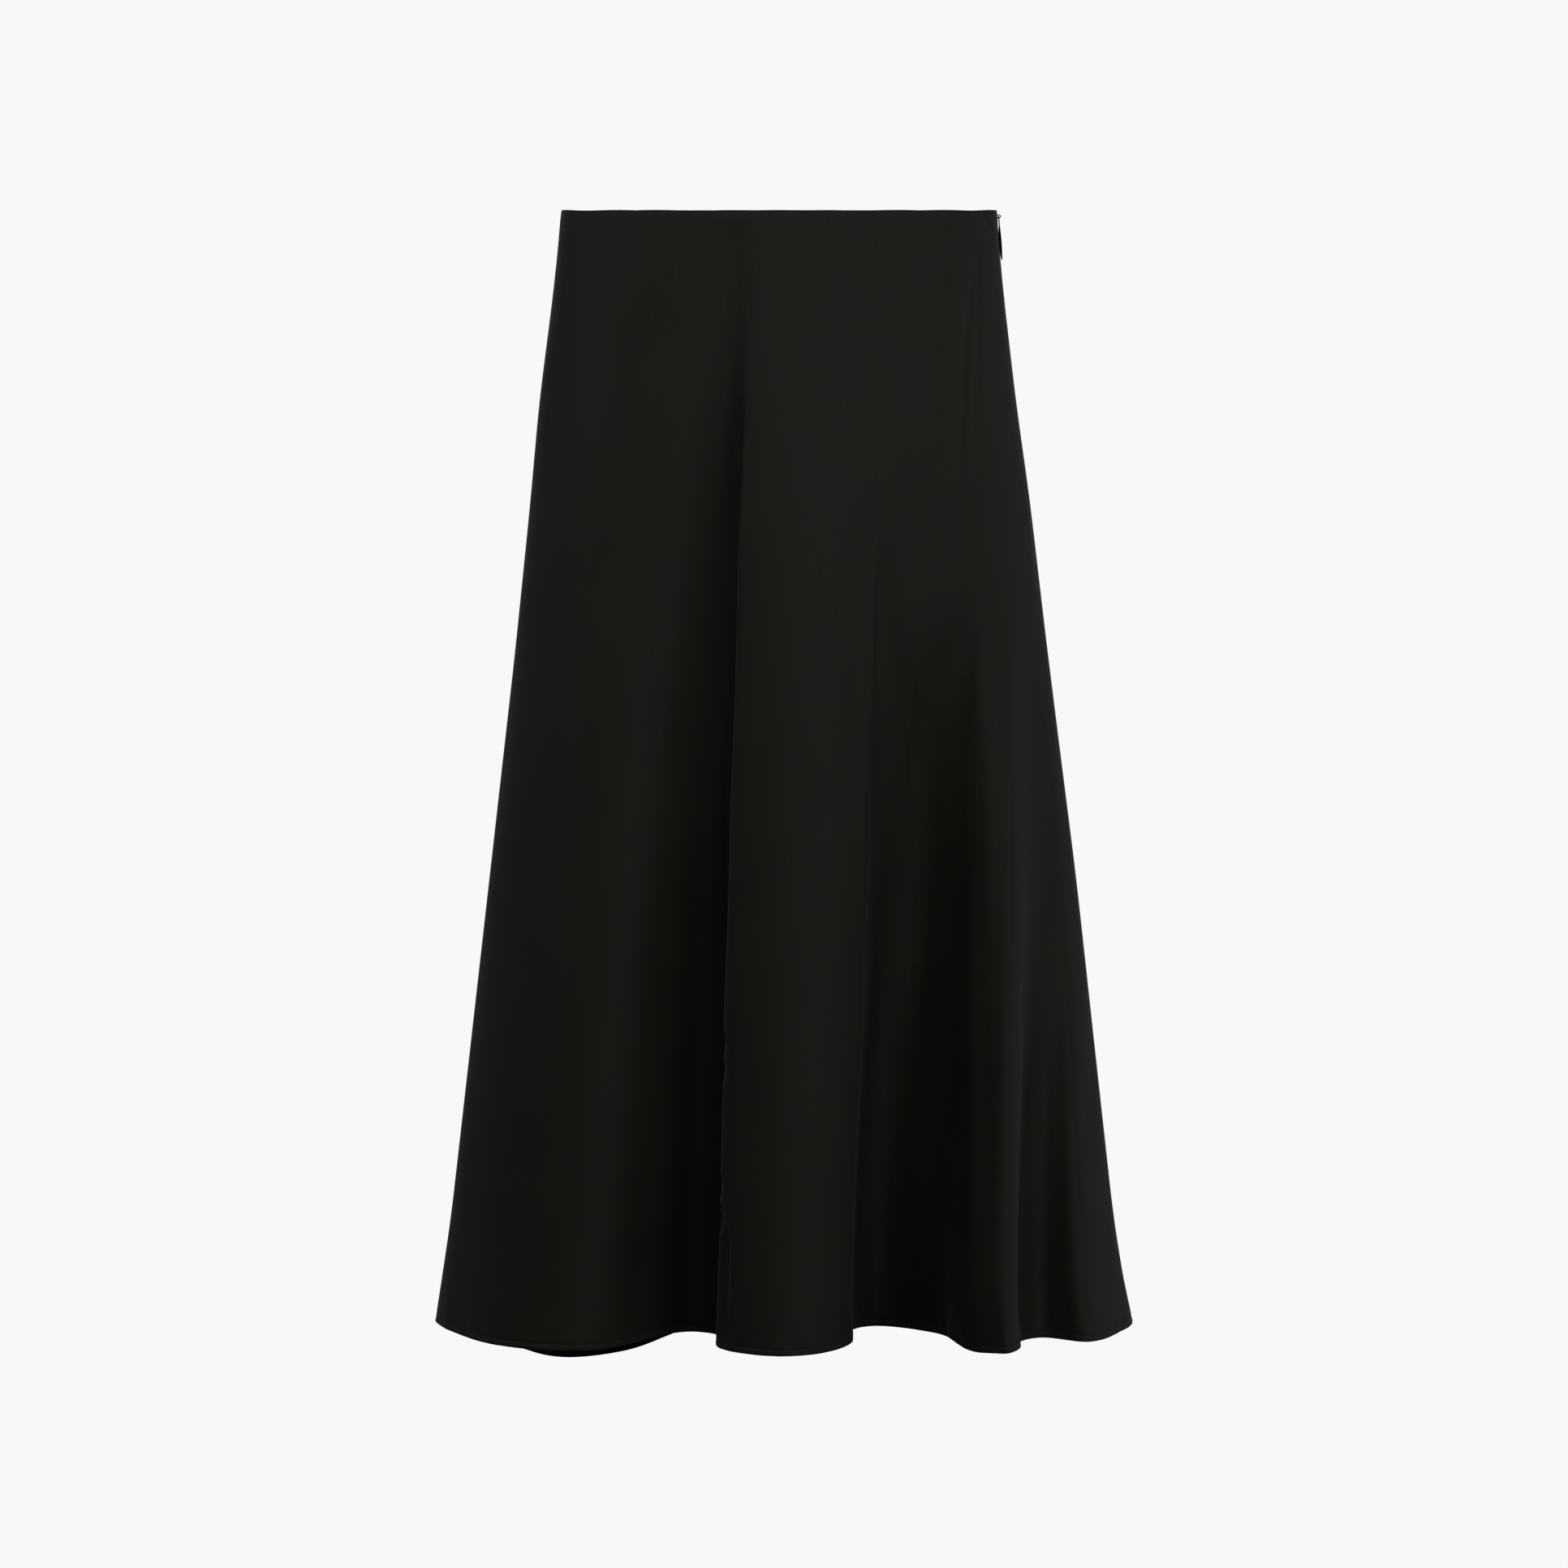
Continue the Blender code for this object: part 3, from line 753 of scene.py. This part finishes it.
# %% A panel from its tables
def panel_sheet(name, first, last, columns, edges, zip_column, creases):
    """The satin of one panel, with its turned edges, seams and creases, and its two grids."""
    knots = np.append(form.knots, 1.0)[first : last + 1]
    steps = np.linspace(0, len(knots) - 1, columns * (len(knots) - 1) + 1)
    middle = np.interp(steps, np.arange(len(knots)), knots)[1:-1]
    for end in (knots[0], knots[-1]):
        to_end = np.linalg.norm(form.point(middle, 0.0) - form.point(end, 0.0), axis=-1)
        middle = middle[to_end > SEAM_ROOM]
    seam = np.array(SEAM_COLUMNS)
    extra = len(seam)
    around = np.concatenate([np.full(extra, knots[0]), middle, np.full(extra, knots[-1])])
    hem_drops = form.hem_drop(around)
    drops, row_depths = down_the_sheet(hem_drops)
    plain = np.tile([0, CLOTH / MM, 1], (len(middle), 1))
    column_depths = np.concatenate([seam[:, 2:], plain, seam[::-1, 2:]])
    turned = row_depths - [0, CLOTH]
    depths = column_depths[:, :2] * MM + column_depths[:, 2:] * turned[:, None, :]
    sides = [np.repeat(around[None, :], len(drops), axis=0) for _ in range(2)]
    for column, (*far, _, _, _) in enumerate(SEAM_COLUMNS):
        for index, way, edge in ((column, 1, edges[0]), (-1 - column, -1, edges[1])):
            if column < ALLOWANCE_COLUMNS:
                shorter = ALLOWANCE_FROM_WAIST + ALLOWANCE_TO_HEM
                drops[:, index] *= 1 - shorter / hem_drops[index]
                drops[:, index] += ALLOWANCE_FROM_WAIST
            for places, distance in zip(sides, far):
                gap = edge(drops[:, index]) / 2 + distance * MM
                places[:, index] = form.beside(places[:, index], drops[:, index], way * gap)
    plain = form.point(sides[0], drops)
    along = along_rows(plain)
    ends = along[:, SEAM_COLUMN, None], along[:, -1 - SEAM_COLUMN, None]
    to_seam = np.clip(np.minimum(along - ends[0], ends[1] - along), 0, None)
    raised = np.zeros(drops.shape)
    panel = slice(SEAM_COLUMN, len(around) - SEAM_COLUMN)
    raised[:, panel] = crease_heights(creases, plain[:, panel], along[:, panel])
    raised += drift_heights(plain, along)
    above_hem = hem_drops - drops
    pucker_at, pucker_spread = PUCKER_REACH
    raised += waves(PUCKER_WAVES, along) * np.exp(-(((above_hem - pucker_at) / pucker_spread) ** 2))
    free = np.clip(to_seam / SEAM_HOLD, 0, 1)
    raised *= free * free * (3 - 2 * free)
    dip, length, spread = ZIP_HOLLOW
    to_zip = np.abs(along - ends[zip_column])
    hollow = dip * np.sin(np.pi * np.clip(drops / length, 0, 1)) ** 2 * np.exp(-((to_zip / spread) ** 2))
    raised -= hollow * column_depths[:, 2]
    drops -= waves(EDGE_WAVES, along) * np.clip(1 - drops / EDGE_WAVE_DROP, 0, 1)
    outer = form.inside(sides[0], drops, depths[..., 0] - raised)
    inner = form.inside(sides[1], drops, depths[..., 1] - raised)
    mesh = sheet_mesh(name, outer, inner, along, SATIN, REVERSE)
    area = sum(p.area for p in mesh.polygons) / 2
    print(name, len(mesh.polygons) * 2, "triangles,", round(area, 3), "square metres")
    return place(name, mesh, SKIRT), outer, inner


seams = {"front": (0, FRONT_COUNT - 1), "back": (FRONT_COUNT - 1, FRONT_COUNT + len(BACK_FOLDS))}
front, front_face, front_reverse = panel_sheet(
    "front_satin", *seams["front"], COLUMNS_A_FOLD["front"], (closed, slit), 1, FRONT_CREASES
)
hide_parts("front_panel")
back, back_face, back_reverse = panel_sheet(
    "back_satin", *seams["back"], COLUMNS_A_FOLD["back"], (slit, closed), 0, BACK_CREASES
)
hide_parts("back_panel")

# %% [markdown]
# ## Cut of the panels
# A flared panel is cut as a fan: as wide as the hem at its foot and as wide as half the waist at
# its top.

# %% [markdown]
# ## Stitches
# The hem and the turned waist edge are held by rows of lockstitch in matching thread. A stitch
# is a short bead whose two ends dip into the cloth, so each row is one mesh made of one small
# form that is set again and again along a line of the sheet, 2.5 mm apart as on a real skirt.

# %% Thread and stitches
STITCH_PITCH = 2.5 * MM
STITCH_LENGTH = 2.1 * MM
THREAD_RADIUS = 0.16 * MM
STITCH_RINGS = ((-0.5, 0.4, -0.7), (-0.3, 1.0, 0.35), (0.3, 1.0, 0.35), (0.5, 0.4, -0.7))
STITCH_SIDES = 6
HEM_STITCH_ROW = len(WAIST_ROWS) + BODY_ROWS + 5  # in the groove above the roll
WAIST_STITCH_ROW = 6  # 8.2 mm below the edge


def unit(vectors):
    return vectors / np.linalg.norm(vectors, axis=-1, keepdims=True)


def at_lengths(path, values, lengths):
    """Values of a path's points, read at lengths along it."""
    run = np.concatenate([[0], np.cumsum(np.linalg.norm(np.diff(path, axis=0), axis=1))])
    return np.column_stack([np.interp(lengths, run, column) for column in values.T]), run[-1]


def stitch_row(name, path, outward):
    """A row of stitches along a path that lies on the cloth."""
    total = at_lengths(path, path, [0])[1]
    lengths = np.arange(STITCH_PITCH, total - STITCH_PITCH, STITCH_PITCH)
    centre = at_lengths(path, path, lengths)[0]
    ahead = unit(at_lengths(path, path, lengths + MM / 2)[0] - at_lengths(path, path, lengths - MM / 2)[0])
    up = unit(at_lengths(path, outward, lengths)[0])
    side = unit(np.cross(up, ahead))
    turn = np.linspace(0, 2 * np.pi, STITCH_SIDES, endpoint=False)
    rings = []
    for reach, size, rise in STITCH_RINGS:
        ring = centre + ahead * reach * STITCH_LENGTH + up * rise * THREAD_RADIUS
        round_it = np.cos(turn)[:, None, None] * side + np.sin(turn)[:, None, None] * up
        rings.append(ring + round_it * size * THREAD_RADIUS)
    points = np.stack(rings).transpose(2, 0, 1, 3)  # stitch, ring, side
    corner = np.arange(points[..., 0].size).reshape(points.shape[:3])
    here, there = corner[:, :-1], corner[:, 1:]
    walls = np.stack([here, np.roll(here, -1, 2), np.roll(there, -1, 2), there], axis=-1).reshape(-1, 4)
    caps = np.concatenate([corner[:, 0, ::-1], corner[:, -1]])
    mesh = bpy.data.meshes.new(name)
    mesh.from_pydata(points.reshape(-1, 3).tolist(), [], walls.tolist() + caps.tolist())
    mesh.materials.append(SEWING_THREAD)
    mesh.shade_smooth()
    print(name, len(centre), "stitches")
    return place(name, mesh, SKIRT)


def thread_material():
    """Spun polyester thread: a soft near-black, with its plies twisted round the stitch."""
    made, tree = new_material("sewing_thread")
    spot = add_node(tree, "ShaderNodeTexCoord").outputs["Object"]
    plies = add_node(
        tree,
        "ShaderNodeTexWave",
        {"Vector": spot, "Scale": diagonal_bands(0.35 * MM), "Distortion": 1.0},
        bands_direction="DIAGONAL",
    )
    colour = add_node(
        tree,
        "ShaderNodeMix",
        {0: plies.outputs["Fac"], 6: linear("#141412"), 7: linear("#272723")},
        data_type="RGBA",
    )
    bumped = add_node(
        tree,
        "ShaderNodeBump",
        {"Height": plies.outputs["Fac"], "Strength": 0.5, "Distance": 0.04 * MM},
    )
    shader = add_node(
        tree,
        "ShaderNodeBsdfPrincipled",
        {"Base Color": colour.outputs[2], "Roughness": 0.6, "Normal": bumped.outputs[0], "Sheen Weight": 0.2},
    )
    finish_material(tree, shader.outputs[0])
    return made


SEWING_THREAD = thread_material()

# %% Rows of stitches
inside_seams = slice(len(SEAM_COLUMNS) - 1, 1 - len(SEAM_COLUMNS))
for label, face, reverse in (("front", front_face, front_reverse), ("back", back_face, back_reverse)):
    for row_name, grid, row, way in (
        ("hem", face, HEM_STITCH_ROW, 1),
        ("waist", reverse, WAIST_STITCH_ROW, -1),
    ):
        line = grid[row, inside_seams]
        down = unit(grid[row + 1, inside_seams] - grid[row - 1, inside_seams])
        facing = way * np.cross(down, np.gradient(line, axis=0))
        stitch_row(f"{label}_{row_name}_stitches", line, facing)

# %% [markdown]
# ## Zip
# The concealed zip has two woven polyester tapes behind the seam, a coil along each of them and
# a slider and pull tab of zinc, lacquered black to match the cloth. Only the pull tab shows from
# outside. The coils lie inside, hooked into each other all the way up to the slider.

# %% Zip materials
def tape_material(name, dark, light, rib):
    """Woven or extruded polyester: fine ribs across the zip."""
    made, tree = new_material(name)
    spot = add_node(tree, "ShaderNodeTexCoord").outputs["Object"]
    ribs = add_node(
        tree,
        "ShaderNodeTexWave",
        {"Vector": spot, "Scale": straight_bands(rib), "Distortion": 0.4},
        bands_direction="Z",
    )
    fluff = add_node(tree, "ShaderNodeTexNoise", {"Vector": spot, "Scale": 1 / (4 * MM), "Detail": 3.0})
    shade = add_node(
        tree,
        "ShaderNodeMath",
        {0: ribs.outputs["Fac"], 1: 0.6, 2: fluff.outputs["Fac"]},
        operation="MULTIPLY_ADD",
    )
    span = add_node(tree, "ShaderNodeMapRange", {"Value": shade.outputs[0], "From Min": 0.3, "From Max": 1.2})
    colour = add_node(
        tree,
        "ShaderNodeMix",
        {0: span.outputs[0], 6: linear(dark), 7: linear(light)},
        data_type="RGBA",
    )
    bumped = add_node(
        tree,
        "ShaderNodeBump",
        {"Height": ribs.outputs["Fac"], "Strength": 0.6, "Distance": 0.12 * MM},
    )
    shader = add_node(
        tree,
        "ShaderNodeBsdfPrincipled",
        {"Base Color": colour.outputs[2], "Roughness": 0.75, "Normal": bumped.outputs[0]},
    )
    finish_material(tree, shader.outputs[0])
    return made


def lacquer_material():
    """Cast zinc under satin black lacquer: dark, with a soft gleam that wanders a little."""
    made, tree = new_material("black_lacquered_zinc")
    spot = add_node(tree, "ShaderNodeTexCoord").outputs["Object"]
    peel = add_node(tree, "ShaderNodeTexNoise", {"Vector": spot, "Scale": 1 / (1.5 * MM), "Detail": 2.0})
    rough = add_node(
        tree,
        "ShaderNodeMapRange",
        {"Value": peel.outputs["Fac"], "To Min": 0.4, "To Max": 0.52},
    )
    colour = add_node(
        tree,
        "ShaderNodeMix",
        {0: peel.outputs["Fac"], 6: linear("#030303"), 7: linear("#060605")},
        data_type="RGBA",
    )
    bumped = add_node(
        tree,
        "ShaderNodeBump",
        {"Height": peel.outputs["Fac"], "Strength": 0.15, "Distance": 0.05 * MM},
    )
    shader = add_node(
        tree,
        "ShaderNodeBsdfPrincipled",
        {
            "Base Color": colour.outputs[2],
            "Roughness": rough.outputs[0],
            "Normal": bumped.outputs[0],
            "Specular IOR Level": 0.07,
        },
    )
    finish_material(tree, shader.outputs[0])
    return made


TAPE = tape_material("woven_polyester_tape", "#101010", "#242422", 1.2 * MM)
COIL = tape_material("drawn_polyester_coil", "#0D0D0D", "#1A1A19", 0.6 * MM)
LACQUER = lacquer_material()
FINISHES = {"zip_tape_front": TAPE, "zip_tape_back": TAPE, "zip_slider": LACQUER}
for node, finish in FINISHES.items():
    for material_slot in bpy.data.objects[node].material_slots:
        material_slot.material = finish
print(len(FINISHES), "packed pieces finished")

# %% The coils
ZIP_DROPS = (8.5 * MM, 200 * MM)  # from under the slider to the end of the tapes
COIL_PITCH = 1.15 * MM
COIL_HALF = (0.85 * MM, 0.5 * MM)  # across the zip, and in depth
COIL_OFFSET = 0.62 * MM  # of each coil from the seam, so that the two hook into each other
COIL_DEPTH = 3.64 * MM  # inside the cloth's face, on the back of the tapes
COIL_WIRE = 0.24 * MM
COIL_STEPS = 10  # points a turn
WIRE_SIDES = 5


def coil(name, side):
    """One coil of the zip: a wire wound round the edge of its tape."""
    turns = (ZIP_DROPS[1] - ZIP_DROPS[0]) / COIL_PITCH
    share = np.linspace(0, 1, int(turns * COIL_STEPS))
    drops = between(ZIP_DROPS, share)
    turn = 2 * np.pi * turns * share
    beside = form.beside(form.right_seam, drops, side * COIL_OFFSET)
    core = form.inside(beside, drops, COIL_DEPTH)
    across = form.tangent(beside, drops)
    across = unit(np.column_stack([across, np.zeros(len(drops))]))
    deep = np.cross(across, [0, 0, 1])
    # the coils are wound as mirror images and reach the seam half a turn apart
    radial = across * np.cos(turn)[:, None] * COIL_HALF[0]
    radial = radial + side * deep * np.sin(turn)[:, None] * COIL_HALF[1]
    path = core + radial
    ahead = unit(np.gradient(path, axis=0))
    up = unit(radial - ahead * np.sum(radial * ahead, axis=1, keepdims=True))
    other = np.cross(ahead, up)
    round_wire = np.linspace(0, 2 * np.pi, WIRE_SIDES, endpoint=False)[:, None, None]
    tube = (path + COIL_WIRE * (np.cos(round_wire) * up + np.sin(round_wire) * other)).transpose(1, 0, 2)
    corner = np.arange(tube[..., 0].size).reshape(tube.shape[:2])
    here, there = corner[:-1], corner[1:]
    walls = np.stack([here, np.roll(here, -1, 1), np.roll(there, -1, 1), there], axis=-1).reshape(-1, 4)
    mesh = bpy.data.meshes.new(name)
    caps = [corner[0, ::-1].tolist(), corner[-1].tolist()]
    mesh.from_pydata(tube.reshape(-1, 3).tolist(), [], walls.tolist() + caps)
    mesh.materials.append(COIL)
    mesh.shade_smooth()
    print(name, round(turns), "turns")
    return place(name, mesh, SKIRT)


coil("zip_coil_front", -1)
coil("zip_coil_back", 1)

# %% Stitches along the tapes
TAPE_STITCH = 5 * MM  # from the tape's inner edge
TAPE_BACK = 2.7 * MM  # depth of the tapes' inner face inside the cloth's face
for label, side in (("front", -1), ("back", 1)):
    drops = np.linspace(ZIP_DROPS[0], ZIP_DROPS[1], 90)
    beside = form.beside(form.right_seam, drops, side * (slit(drops) / 2 + TAPE_STITCH))
    line = form.inside(beside, drops, TAPE_BACK)
    inwards = form.inside(beside, drops, TAPE_BACK + MM) - line
    stitch_row(f"zip_tape_{label}_stitches", line, inwards)

# %% [markdown]
# ## Pull tab
# The real pull tab is a cast drop, thin at its bar and thicker and rounded towards its end, with
# all its edges broken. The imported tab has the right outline, so its mesh is copied, cut into
# strips, swelled on both faces, more on the one towards the cloth, and bevelled. It turns with
# the joint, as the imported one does.

# %% Pull tab
PULL_SWELL_OUT = 0.4 * MM
PULL_SWELL_IN = 0.95 * MM  # fuller behind, so that it lies close to the cloth
SWELL_FROM = 6 * MM  # below the axis
SWELL_TO = 29.6 * MM
SWELL_STEP = 2 * MM
SWELL_LINES = (-1.4 * MM, -0.725 * MM, 0, 0.725 * MM, 1.4 * MM)  # cuts along it, through its corners
PULL_ROUND = 26 * MM  # where its round end begins
PULL_SNAP = 0.02 * MM  # a cut that passes this close to a corner goes through it
PULL_WELD = 0.001 * MM
PULL_FLAT = 0.03  # radians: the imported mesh's flat faces are joined up to this bend
PULL_CORNER = math.radians(40)  # edges sharper than this are broken
PULL_SHADED_CORNER = math.radians(35)  # and those sharper than this stay crisp in the light
PULL_HALF = 2.8 * MM  # half the width of the drop
PULL_LEAN = math.radians(4.38)  # it hangs along the side of the skirt, which flares
PULL_EDGE = 0.14 * MM


def pull_tab():
    """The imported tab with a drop's swelling and broken edges."""
    axis = Vector(frame["joints"][0]["pos_m"])
    outward = Vector((math.cos(PULL_LEAN), 0, math.sin(PULL_LEAN)))
    down = Vector((math.sin(PULL_LEAN), 0, -math.cos(PULL_LEAN)))
    shape = bmesh.new()
    shape.from_mesh(bpy.data.objects["zip_pull"].data)
    bmesh.ops.remove_doubles(shape, verts=shape.verts, dist=PULL_WELD)
    bmesh.ops.dissolve_limit(shape, angle_limit=PULL_FLAT, verts=shape.verts, edges=shape.edges)

    def below(thing):
        """Whether a corner, edge or face lies wholly under the bar and its window."""
        spots = [vertex.co for vertex in getattr(thing, "verts", [thing])]
        return min((spot - axis).dot(down) for spot in spots) > SWELL_FROM - PULL_SNAP

    cuts = [(down, axis + down * far) for far in np.arange(SWELL_FROM, PULL_ROUND, SWELL_STEP)]
    cuts += [(Vector((0, 1, 0)), axis + Vector((0, aside, 0))) for aside in SWELL_LINES]
    for normal, spot in cuts:
        everything = (*shape.verts, *shape.edges, *shape.faces)
        parts = [thing for thing in everything if normal is down or below(thing)]
        bmesh.ops.bisect_plane(shape, geom=parts, dist=PULL_SNAP, plane_co=spot, plane_no=normal)
    for vertex in shape.verts:
        away = vertex.co - axis
        along = (away.dot(down) - SWELL_FROM) / (SWELL_TO - SWELL_FROM)
        if 0 < along < 1:
            dome = max(0.0, 1 - (away.y / PULL_HALF) ** 2)
            crown = math.sin(math.pi * along)
            out = away.dot(outward) > 0
            swell = PULL_SWELL_OUT * crown if out else -PULL_SWELL_IN * math.sqrt(crown)
            vertex.co += outward * dome * swell
    sharp = [edge for edge in shape.edges if edge.calc_face_angle(0) > PULL_CORNER]
    bmesh.ops.bevel(shape, geom=sharp, offset=PULL_EDGE, segments=2, profile=0.6, affect="EDGES")
    bmesh.ops.triangulate(shape, faces=[face for face in shape.faces if len(face.verts) > 4])
    mesh = bpy.data.meshes.new("pull_tab")
    shape.to_mesh(mesh)
    shape.free()
    mesh.materials.clear()
    mesh.materials.append(LACQUER)
    mesh.shade_smooth()
    mesh.set_sharp_from_angle(angle=PULL_SHADED_CORNER)
    return mesh


pull = place("pull_tab", pull_tab(), PULL)
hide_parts("zip_pull")
print("pull tab:", len(pull.data.polygons), "faces")
